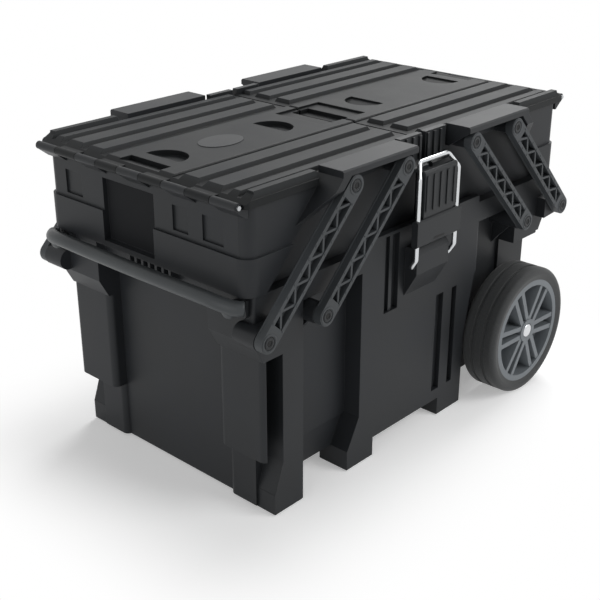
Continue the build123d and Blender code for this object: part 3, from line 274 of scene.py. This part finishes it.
@dataclass(frozen=True)
class Finishes:
    """Every finish of the box, each built once."""

    tub: bpy.types.Material
    bin: bpy.types.Material
    lid: bpy.types.Material
    arm: bpy.types.Material
    handle: bpy.types.Material
    fitting: bpy.types.Material
    divider: bpy.types.Material
    rim: bpy.types.Material
    bush: bpy.types.Material
    tyre: bpy.types.Material
    pin: bpy.types.Material
    hinge: bpy.types.Material
    cap: bpy.types.Material
    wire: bpy.types.Material
    liner: bpy.types.Material
    socket: bpy.types.Material

    @classmethod
    def build(cls) -> "Finishes":
        """Return the built set of finishes."""
        return cls(
            # Polypropylene, black right through: broad satin faces.
            tub=MouldedPlastic("moulded_polypropylene_tub", "#1f2123", "#25272a").build(),
            bin=MouldedPlastic("moulded_polypropylene_bin", "#1e2022", "#242629").build(),
            # Painted shade darkens the valleys between the lids' ridges, and painted light brightens their
            # high tops.
            lid=MouldedPlastic("moulded_polypropylene_lid", "#1a1c1d", "#202224", roughness=0.48,
                               grain_height_mm=0.06, edge_mm=1.0, specular=0.16,
                               painted_shade_heights=(405.5, 409.0)).build(),
            # Glass fibre near the skin makes the arms a little greyer than the tub.
            arm=MouldedPlastic("glass_filled_nylon_arm", "#373a3c", "#404346", roughness=0.42,
                               grain_height_mm=0.02, edge_mm=0.5).build(),
            # A smooth mould and many hands leave the bar paler and glossier.
            handle=MouldedPlastic("moulded_polypropylene_handle", "#3b3e40", "#454849", roughness=0.4,
                                  grain_height_mm=0.02).build(),
            fitting=MouldedPlastic("moulded_nylon_fitting", "#202224", "#27292b", roughness=0.44,
                                   grain_height_mm=0.025, edge_mm=0.5).build(),
            divider=MouldedPlastic("moulded_polypropylene_divider", "#1b1d1f", "#222426").build(),
            # Grey nylon rims and pale acetal bushes: smooth moulds, soft broad highlights.
            rim=MouldedPlastic("moulded_nylon_rim_grey", "#6d7276", "#777c80", roughness=0.45,
                               grain_height_mm=0.02, edge_mm=0.8).build(),
            bush=MouldedPlastic("moulded_acetal_bush", "#b9b8b2", "#c4c3bd", roughness=0.35,
                                grain_height_mm=0.01, edge_mm=0.3).build(),
            tyre=TreadRubber("vulcanised_rubber_tyre", "#1c1e1f", "#2a2c2d").build(),
            pin=MouldedPlastic("moulded_acetal_pin", "#1d1f21", "#232527", roughness=0.36,
                               grain_height_mm=0.01, edge_mm=0.4).build(),
            # Zinc looks milky, a pressed cap almost mirrors, and drawn wire shines along its length.
            hinge=DrawnSteel("zinc_plated_steel_pin", "#b4b6b8", roughness=0.3).build(),
            cap=DrawnSteel("pressed_bright_steel_cap", "#d4d6d8", roughness=0.16).build(),
            wire=DrawnSteel("drawn_stainless_wire", "#cfd1d3", roughness=0.2).build(),
            # Painted shade: a dark sheet with a coarse grain makes the recessed panels of the bin ends darker
            # than the walls.
            liner=MouldedPlastic("painted_shade_recess_panel", "#141517", "#1b1c1e", roughness=0.68,
                                 grain_mm=2.2, grain_height_mm=0.12, specular=0.12).build(),
            # Painted shade: near-black discs and pads stand for the shade inside the pin sockets and the
            # latch slots.
            socket=MouldedPlastic("painted_shade_socket_and_slot", "#0b0c0d", "#101112", roughness=0.5,
                                  grain_height_mm=0.01, edge_mm=0.3).build(),
        )


# ------------------------------------------------------------------ dressing the CAD nodes
class Side(Enum):
    """The two long sides, or the two ends, of the box as node names call them."""

    FRONT = "front"
    BACK = "back"
    LEFT = "left"
    RIGHT = "right"


ENDS = ((Side.LEFT, -1.0), (Side.RIGHT, 1.0))              # with the sign of each along X
LONG_SIDES = ((Side.FRONT, -1.0), (Side.BACK, 1.0))        # with the sign of each along Y


@dataclass
class PackedPieces:
    """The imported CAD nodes, which keep their shape and get a finish by what they are."""

    nodes: Dict[str, bpy.types.Object]
    finishes: Finishes

    def finish_for(self, name: str) -> bpy.types.Material:
        """Return the finish of a CAD node.

        Args:
            name: Name of the node.

        Returns:
            The material that the real piece is made of.
        """
        kit = self.finishes
        endings = (("_tyre", kit.tyre), ("_rim", kit.rim), ("_hub_bush", kit.bush), ("_latch_wire", kit.wire),
                   ("_hinge_pin", kit.hinge), ("_pins", kit.pin), ("_dividers", kit.divider),
                   ("_bin", kit.bin), ("_lid", kit.lid))
        whole = {"base_tub": kit.tub, "axle_caps": kit.cap, "wheel_axle": kit.hinge,
                 "handle_tubes": kit.hinge, "handle_grip": kit.handle}
        if name in whole:
            return whole[name]
        if "_arm_" in name and not name.endswith("pins"):
            return kit.arm
        for ending, finish in endings:
            if name.endswith(ending):
                return finish
        return kit.fitting

    def dress(self) -> None:
        """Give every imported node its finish."""
        for name, node in sorted(self.nodes.items()):
            finish = self.finish_for(name)
            node.data.materials.clear()
            node.data.materials.append(finish)
            log.info("%s: %s", name, finish.name)


# ------------------------------------------------------------------ mesh helpers
def circle(centre: Vector, first: Vector, second: Vector, radius: float, count: int) -> List[Vector]:
    """Return evenly spaced points on a circle.

    Args:
        centre: Middle of the circle.
        first: Unit direction of its first point.
        second: Unit direction a quarter turn further.
        radius: Radius of the circle.
        count: Number of points.

    Returns:
        The points in order.
    """
    turns = [2 * math.pi * i / count for i in range(count)]
    return [centre + first * (radius * math.cos(t)) + second * (radius * math.sin(t)) for t in turns]


@dataclass
class MeshDraft:
    """Points and faces of one piece while it is made, in millimetres from the split of the bins."""

    points: List[Tuple[float, float, float]] = field(default_factory=list)
    faces: List[Tuple[int, ...]] = field(default_factory=list)

    def add_loops(self, loops: Sequence[Sequence[Vector]], closed: bool) -> None:
        """Join loops of as many points each into a skin.

        Args:
            loops: Loops of points, in order along the skin.
            closed: Whether the last loop joins the first; otherwise both ends are capped.
        """
        count = len(loops[0])
        start = len(self.points)
        for loop in loops:
            self.points.extend(tuple(point) for point in loop)
        last = len(loops) if closed else len(loops) - 1
        for row in range(last):
            here, there = start + row * count, start + (row + 1) % len(loops) * count
            for i in range(count):
                k = (i + 1) % count
                self.faces.append((here + i, here + k, there + k, there + i))
        if not closed:
            self.faces.append(tuple(start + i for i in range(count)))
            self.faces.append(tuple(start + (len(loops) - 1) * count + i for i in range(count)))

    def add_turned(self, place: Vector, outward: float, profile: Profile, closed: bool,
                   count: int = 48) -> None:
        """Turn a profile round a line along Y.

        Args:
            place: Point on that line from which heights are taken.
            outward: -1 where the piece faces the front, 1 where it faces the back.
            profile: Radius and height of each point.
            closed: Whether the profile is a closed ring section.
            count: Points in each turn.
        """
        self.add_loops([circle(place + ALONG_Y * (outward * height), ALONG_X, ALONG_Z, radius, count)
                        for radius, height in profile], closed)

    def add_pad(self, centre: Vector, along: Vector, across: Vector, half: Tuple[float, float],
                corner: float, height: float) -> None:
        """Add a low pad with rounded corners and a chamfered rim.

        Args:
            centre: Middle of the pad on the face that it sits on.
            along: Unit direction of its first half size.
            across: Unit direction of its second half size.
            half: Half length and half width.
            corner: Radius of its corners.
            height: How far it stands out.
        """
        normal = along.cross(across).normalized()
        rim = min(height, corner) * PAD_CHAMFER

        def outline(inset: float, level: float) -> List[Vector]:
            """Return the pad's outline, drawn in by inset, at a level above the face."""
            points = []
            reach = max(corner - inset, LEAST_ROUND)
            for quarter, (u_side, v_side) in enumerate(((1, 1), (-1, 1), (-1, -1), (1, -1))):
                for step in range(CORNER_STEPS + 1):
                    turn = math.radians(90 * (quarter + step / CORNER_STEPS))
                    u = u_side * (half[0] - inset - reach) + reach * math.cos(turn)
                    v = v_side * (half[1] - inset - reach) + reach * math.sin(turn)
                    points.append(centre + along * u + across * v + normal * level)
            return points

        self.add_loops([outline(0, -SEAT), outline(0, height - rim), outline(rim, height)], closed=False)

    def piece(self, name: str, finish: bpy.types.Material, body: str, slot: str) -> bpy.types.Object:
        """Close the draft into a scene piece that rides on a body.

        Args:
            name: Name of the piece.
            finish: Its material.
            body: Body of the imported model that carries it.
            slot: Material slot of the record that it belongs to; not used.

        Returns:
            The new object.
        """
        mesh = bpy.data.meshes.new(name)
        places = [((x + FRAME_SHIFT) * MM, y * MM, z * MM) for x, y, z in self.points]
        mesh.from_pydata(places, [], self.faces)
        work = bmesh.new()
        work.from_mesh(mesh)
        bmesh.ops.recalc_face_normals(work, faces=work.faces)
        work.to_mesh(mesh)
        work.free()
        for face in mesh.polygons:
            face.use_smooth = True
        mesh.set_sharp_from_angle(angle=math.radians(SHARP_EDGE_DEG))
        mesh.materials.append(finish)
        made = bpy.data.objects.new(name, mesh)
        bpy.context.scene.collection.objects.link(made)
        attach(made, body)
        log.info("%s on %s: %d faces", name, body, len(mesh.polygons))
        return made


def way_along(points: Sequence[Tuple[float, float, float]], steps: int) -> List[Vector]:
    """Return points on a smooth line through the given ones.

    Args:
        points: Points that the line passes.
        steps: Steps between two of them.

    Returns:
        The points of the line, the given ones among them.
    """
    known = [Vector(p) for p in points]
    known = [2 * known[0] - known[1]] + known + [2 * known[-1] - known[-2]]
    line = []
    for a, b, c, d in zip(known, known[1:], known[2:], known[3:]):
        for step in range(steps):
            t = step / steps
            line.append(0.5 * (2 * b + (c - a) * t + (2 * a - 5 * b + 4 * c - d) * t * t
                               + (3 * b - a - 3 * c + d) * t ** 3))
    return line + [known[-2]]


# ------------------------------------------------------------------ fine fittings
@dataclass
class LinkArms:
    """Trim of the eight link arms and of the pins in their ends."""

    finishes: Finishes
    inner_base_x: float = 208.0    # lower pivot of the inner arm
    spacing: float = 93.5          # inner to outer pivot
    run: float = 139.0             # upper to lower pivot, along X
    base_z: float = 250.0
    rise: float = 141.5            # lower to upper pivot
    arm_face_y: float = 197.0
    head_face_y: float = 196.7
    solid_end: float = 19.0        # pivot to the first bay of the truss
    bays: int = 10
    rail_off: float = 9.8          # middle of a rail, off the arm's axis
    edge_off: float = 12.3         # edge of the arm, off its axis
    lip_y: float = 187.4           # middle of the thin lips low on the arm's two edges
    lip_half: float = 0.9
    lip_corner: float = 0.8
    lip_height: float = 0.6
    lip_end_gap: float = 4.0
    ring: Profile = ((6.9, -SEAT), (6.9, 0.4), (6.4, 0.8), (4.2, 0.8), (3.6, 0.4), (3.6, -SEAT))
    # socket: dark disc of painted shade inside each ring, where the pin's socket is
    socket: Profile = ((3.3, -SEAT), (3.3, 0.15), (2.9, 0.25))
    collar: Profile = ((11.0, -SEAT), (11.0, 0.3), (10.5, 0.6), (8.9, 0.6), (8.4, 0.3), (8.4, -SEAT))
    dot: Profile = ((1.5, -0.2), (1.5, 0.25), (1.05, 0.45))
    dot_count: int = 14

    def pivot(self, side: Side, outer: bool, top: bool) -> Vector:
        """Return a pivot of an arm, in the long centre plane."""
        x = self.inner_base_x + (self.spacing if outer else 0.0) - (self.run if top else 0.0)
        return Vector((x if side is Side.RIGHT else -x, 0.0, self.base_z + (self.rise if top else 0.0)))

    def add_heads(self, rings: MeshDraft, sockets: MeshDraft, pivot: Vector) -> None:
        """Add the raised ring and the dark disc of painted shade in the socket on both pin heads at a pivot.
        """
        for outward in (-1.0, 1.0):
            face = pivot + ALONG_Y * (outward * self.head_face_y)
            rings.add_turned(face, outward, self.ring, closed=True)
            sockets.add_turned(face, outward, self.socket, closed=False)

    def trim_arm(self, side: Side, outer: bool, outward: float) -> MeshDraft:
        """Draw one arm's collars round its holes, dots on its rails and thin lips low on its edges.

        Args:
            side: Which bin it carries.
            outer: Whether it is the outer arm of the two.
            outward: -1 for the front arm, 1 for the back one.

        Returns:
            The draft of the whole trim.
        """
        draft = MeshDraft()
        low, high = self.pivot(side, outer, False), self.pivot(side, outer, True)
        length = (high - low).length
        along = (high - low).normalized()
        across = Vector((-along.z, 0.0, along.x))
        face = ALONG_Y * (outward * self.arm_face_y)
        for pivot in (low, high):
            draft.add_turned(pivot + face, outward, self.collar, closed=True)
        pitch = (length - 2 * self.solid_end) / self.bays
        for index in range(self.bays + 1):
            node = low + along * (self.solid_end + pitch * index) + face
            for turn in (-1, 1):
                draft.add_turned(node + across * (turn * self.rail_off), outward, self.dot, closed=False,
                                 count=self.dot_count)
        middle = (low + high) / 2 + ALONG_Y * (outward * self.lip_y)
        for turn in (-1, 1):
            away = across * turn
            draft.add_pad(middle + away * self.edge_off, along, away.cross(along),
                          (length / 2 - self.lip_end_gap, self.lip_half), self.lip_corner, self.lip_height)
        return draft

    def build_heads(self, side: Side, top: bool) -> None:
        """Make the rings, and the discs of painted shade in the sockets, of the four pins at one level of one
        end.
        """
        rings, sockets = MeshDraft(), MeshDraft()
        for outer in (False, True):
            self.add_heads(rings, sockets, self.pivot(side, outer, top))
        level, body = ("top", f"{side.value}_bin") if top else ("base", "base")
        rings.piece(f"{side.value}_{level}_pin_rings", self.finishes.pin, body, "pin_plastic")
        sockets.piece(f"{side.value}_{level}_pin_socket_shades", self.finishes.socket, body, "pin_plastic")

    def build(self) -> None:
        """Make the trim of every arm and pin."""
        for top in (False, True):
            for side in (Side.LEFT, Side.RIGHT):
                self.build_heads(side, top)
        for side in (Side.LEFT, Side.RIGHT):
            for outer, row in ((False, "inner"), (True, "outer")):
                for face, outward in LONG_SIDES:
                    self.trim_arm(side, outer, outward).piece(
                        f"{side.value}_{row}_arm_{face.value}_trim", self.finishes.arm,
                        f"{side.value}_{row}_arms", "arm_plastic")


@dataclass
class BinEnds:
    """Dark coarse-grained sheet of painted shade on the floor of the recess in each bin's end wall."""

    finishes: Finishes
    floor_x: float = 299.5
    span_y: Tuple[float, float] = (-24.0, 66.0)
    span_z: Tuple[float, float] = (301.0, 378.0)
    inset: float = 1.2
    corner: float = 4.0
    height: float = 0.6

    def build(self) -> None:
        """Make both panels."""
        half = tuple((high - low) / 2 - self.inset for low, high in (self.span_y, self.span_z))
        for side, outward in ENDS:
            centre = Vector((outward * self.floor_x, sum(self.span_y) / 2, sum(self.span_z) / 2))
            body = f"{side.value}_bin"
            draft = MeshDraft()
            draft.add_pad(centre, ALONG_Y * outward, ALONG_Z, half, self.corner, self.height)
            draft.piece(f"{body}_end_recess_shade", self.finishes.liner, body, "bin_plastic")


@dataclass
class LatchTrim:
    """Grip ridges on the thumb plate of each latch, and a dark pad of painted shade for the slot in the clip
    below it.
    """

    finishes: Finishes
    face_y: float = 196.5
    plate_z: Tuple[float, float] = (319.0, 376.0)
    plate_half: float = 32.5
    ridges: int = 5
    ridge_half: float = 2.4
    ridge_height: float = 0.4
    ridge_end_gap: float = 6.0     # plate's head and foot to the ridges
    ridge_side_gap: float = 5.0    # plate's side to the middle of the first ridge
    # the slot is drawn as a thin dark pad of painted shade
    slot_z: float = 287.5
    slot_half: Tuple[float, float] = (11.0, 1.5)
    slot_height: float = 0.2
    corner: float = 1.2

    def build(self) -> None:
        """Make the trim of both latches."""
        low, high = self.plate_z
        ridge = (self.ridge_half, (high - low) / 2 - self.ridge_end_gap)
        reach = self.plate_half - self.ridge_side_gap
        for side, outward in LONG_SIDES:
            along, face_y = ALONG_X * -outward, outward * self.face_y
            ridges, slot = MeshDraft(), MeshDraft()
            for index in range(self.ridges):
                x = -reach + 2 * reach * index / (self.ridges - 1)
                ridges.add_pad(Vector((x, face_y, (low + high) / 2)), along, ALONG_Z, ridge, self.corner,
                               self.ridge_height)
            slot.add_pad(Vector((0.0, face_y, self.slot_z)), along, ALONG_Z, self.slot_half, self.corner,
                         self.slot_height)
            body = f"{side.value}_latch"
            ridges.piece(f"{body}_ridges", self.finishes.fitting, body, "fitting_plastic")
            slot.piece(f"{body}_slot", self.finishes.socket, body, "fitting_plastic")


@dataclass
class PullHandle:
    """Bowed bar round the left end, whose ends turn in over the sockets of its two tubes."""

    finishes: Finishes
    radius: float = 8.5
    # Middle of the bar from its near end; the far half mirrors it.
    half_line: Tuple[Tuple[float, float, float], ...] = (
        (-308.5, -168.0, 284.0), (-316.0, -160.5, 284.6), (-322.5, -146.0, 287.5), (-326.0, -124.0, 290.0),
        (-327.0, -90.0, 290.3), (-327.0, -45.0, 290.0))
    middle: Tuple[float, float, float] = (-327.0, 0.0, 289.8)
    end_round: Tuple[float, ...] = (0.8, 0.94, 1.0)      # share of the radius at the first steps from an end
    steps: int = 10
    around: int = 28
    tube_y: float = 152.0          # middle of a tube, and its height
    tube_z: float = 280.0
    mouth_x: float = -304.0        # where the socket takes the tube
    socket: Profile = ((9.0, 0.0), (9.0, 15.0), (8.0, 16.9), (5.5, 18.1), (1.0, 18.5))

    def add_bar(self, draft: MeshDraft) -> None:
        """Sweep the round bar along its bowed line, with blunt rounded ends."""
        far_half = [(x, -y, z) for x, y, z in reversed(self.half_line)]
        line = way_along([*self.half_line, self.middle, *far_half], self.steps)
        loops = []
        last = len(line) - 1
        for index, point in enumerate(line):
            ahead = (line[min(index + 1, last)] - line[max(index - 1, 0)]).normalized()
            up = (ALONG_Z - ahead * ahead.z).normalized()
            share = self.end_round[min(index, last - index, len(self.end_round) - 1)]
            loops.append(circle(point, up, ahead.cross(up), self.radius * share, self.around))
        draft.add_loops(loops, closed=False)

    def add_socket(self, draft: MeshDraft, y: float) -> None:
        """Add the socket that the end of one tube is pressed into, with a domed end."""
        mouth = Vector((self.mouth_x, y, self.tube_z))
        draft.add_loops([circle(mouth - ALONG_X * reach, ALONG_Y, ALONG_Z, radius, self.around)
                         for radius, reach in self.socket], closed=False)

    def build(self) -> None:
        """Make the bar with both sockets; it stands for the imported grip."""
        draft = MeshDraft()
        self.add_bar(draft)
        for y in (-self.tube_y, self.tube_y):
            self.add_socket(draft, y)
        bar = draft.piece("pull_handle_bar", self.finishes.handle, "pull_handle", "handle_plastic")
        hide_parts("handle_grip")


# ------------------------------------------------------------------ studio
@dataclass(frozen=True)
class Softbox:
    """Square soft lamp: where it hangs and its side in metres, and its power in watts."""

    name: str
    place: Tuple[float, float, float]
    size: float
    power: float

    def build(self, target: Vector) -> None:
        """Hang the lamp and aim it at a target."""
        lamp = bpy.data.lights.new(self.name, "AREA")
        lamp.shape = "SQUARE"
        lamp.size = self.size
        lamp.energy = self.power
        holder = bpy.data.objects.new(self.name, lamp)
        holder.location = self.place
        holder.rotation_euler = (target - Vector(self.place)).to_track_quat("-Z", "Y").to_euler()
        bpy.context.scene.collection.objects.link(holder)


@dataclass(frozen=True)
class Studio:
    """Pale floor, soft lamps, white surround and the camera."""

    floor_radius: float = 9.0
    floor_sides: int = 96
    floor_colour: str = "#f2f2f2"
    floor_lift: float = 0.32       # light that the floor gives of itself, so that its shadow stays pale
    footprint: Tuple[float, float, float] = (0.30, 0.17, 0.0)      # half of what stands on the floor
    shadow_near: float = 0.0       # metres from the footprint where the floor starts to turn white
    shadow_far: float = 0.2        # and where it is all white
    ambient: float = 0.22
    key: Softbox = Softbox("key_softbox", (1.9, 0.5, 2.3), 1.6, 56.0)           # over the right end
    front_fill: Softbox = Softbox("front_fill", (1.0, -2.4, 2.0), 1.6, 36.0)
    left_fill: Softbox = Softbox("left_fill", (-2.8, -0.4, 1.0), 2.0, 18.0)
    camera_azimuth: float = -47.5
    camera_elevation: float = 24.2
    camera_distance: float = 1.4974
    camera_lens: float = 65.25
    camera_sensor: float = 36.0
    camera_near: float = 0.01
    camera_target: Tuple[float, float, float] = (-0.0248, 0.0060, 0.1500)

    def seen_directly(self, tree: bpy.types.NodeTree) -> bpy.types.NodeSocket:
        """Return a socket that is one for camera, glossy and transmission rays."""
        path = add_node(tree, "ShaderNodeLightPath")
        either = add_node(tree, "ShaderNodeMath", {"operation": "MAXIMUM"})
        tree.links.new(path.outputs["Is Camera Ray"], either.inputs[0])
        tree.links.new(path.outputs["Is Glossy Ray"], either.inputs[1])
        all_three = add_node(tree, "ShaderNodeMath", {"operation": "MAXIMUM"})
        tree.links.new(either.outputs[0], all_three.inputs[0])
        tree.links.new(path.outputs["Is Transmission Ray"], all_three.inputs[1])
        return all_three.outputs[0]

    def make_world(self) -> None:
        """White surround: plain ambient light, and white where it is seen."""
        world = bpy.data.worlds.new("white_surround")
        bpy.context.scene.world = world
        world.use_nodes = True
        tree = world.node_tree
        tree.nodes.clear()
        lighting = add_node(tree, "ShaderNodeBackground", Color=linear(WHITE), Strength=self.ambient)
        seen = add_node(tree, "ShaderNodeBackground", Color=linear(WHITE), Strength=1.0)
        mix = add_node(tree, "ShaderNodeMixShader", Fac=self.seen_directly(tree))
        tree.links.new(lighting.outputs[0], mix.inputs[1])
        tree.links.new(seen.outputs[0], mix.inputs[2])
        add_node(tree, "ShaderNodeOutputWorld", Surface=mix.outputs[0])

    def make_floor(self) -> None:
        """Round pale floor that keeps the shadow near the box and turns white further out."""
        edge = circle(Vector((0.0, 0.0, 0.0)), ALONG_X, ALONG_Y, self.floor_radius, self.floor_sides)
        mesh = bpy.data.meshes.new("studio_floor")
        mesh.from_pydata(edge, [], [tuple(range(self.floor_sides))])
        floor = bpy.data.objects.new("studio_floor", mesh)
        bpy.context.scene.collection.objects.link(floor)
        material, tree = blank_material("painted_studio_floor")
        outward = add_node(tree, "ShaderNodeTexCoord").outputs["Object"]
        for operation, value in (("ABSOLUTE", None), ("SUBTRACT", self.footprint),
                                 ("MAXIMUM", (0.0, 0.0, 0.0)), ("LENGTH", None)):
            step = add_node(tree, "ShaderNodeVectorMath", {"operation": operation})
            tree.links.new(outward, step.inputs[0])
            if value is not None:
                step.inputs[1].default_value = value
            outward = step.outputs["Value" if operation == "LENGTH" else "Vector"]
        far = add_node(tree, "ShaderNodeMapRange", {"interpolation_type": "SMOOTHSTEP"},
                       Value=outward, From_Min=self.shadow_near, From_Max=self.shadow_far)
        paint = add_node(tree, "ShaderNodeBsdfDiffuse", Color=linear(self.floor_colour))
        lift = add_node(tree, "ShaderNodeEmission", Color=linear(WHITE))
        share = add_node(tree, "ShaderNodeMath", {"operation": "MULTIPLY"})
        tree.links.new(self.seen_directly(tree), share.inputs[0])
        share.inputs[1].default_value = self.floor_lift
        tree.links.new(share.outputs[0], lift.inputs["Strength"])
        near_box = add_node(tree, "ShaderNodeAddShader")
        tree.links.new(paint.outputs[0], near_box.inputs[0])
        tree.links.new(lift.outputs[0], near_box.inputs[1])
        white = add_node(tree, "ShaderNodeEmission", Color=linear(WHITE), Strength=1.0)
        whole = add_node(tree, "ShaderNodeMixShader", Fac=far.outputs["Result"])
        tree.links.new(near_box.outputs[0], whole.inputs[1])
        tree.links.new(white.outputs[0], whole.inputs[2])
        close_material(tree, whole)
        mesh.materials.append(material)

    def make_camera(self) -> None:
        """Camera of the main view, without shift or depth of field."""
        azimuth = math.radians(self.camera_azimuth)
        elevation = math.radians(self.camera_elevation)
        back = Vector((math.sin(azimuth) * math.cos(elevation), -math.cos(azimuth) * math.cos(elevation),
                       math.sin(elevation)))
        lens = bpy.data.cameras.new("camera")
        lens.sensor_width = self.camera_sensor
        lens.lens = self.camera_lens
        lens.clip_start = self.camera_near
        camera = bpy.data.objects.new("camera", lens)
        camera.location = Vector(self.camera_target) + back * self.camera_distance
        camera.rotation_euler = (-back).to_track_quat("-Z", "Y").to_euler()
        bpy.context.scene.collection.objects.link(camera)
        bpy.context.scene.camera = camera

    def build(self) -> None:
        """Set up the whole studio."""
        bpy.context.scene.view_settings.view_transform = "Standard"
        self.make_world()
        self.make_floor()
        for lamp in (self.key, self.front_fill, self.left_fill):
            lamp.build(Vector(self.camera_target))
        self.make_camera()
        log.info("studio: floor, surround, lamps and camera")


def main() -> None:
    """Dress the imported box, add its fine pieces and set up the studio."""
    logging.basicConfig(level=logging.INFO, format="%(message)s")
    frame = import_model()
    finishes = Finishes.build()
    PackedPieces(frame["nodes"], finishes).dress()
    LinkArms(finishes).build()
    BinEnds(finishes).build()
    LatchTrim(finishes).build()
    PullHandle(finishes).build()
    Studio().build()


if __name__ == "__main__":
    main()
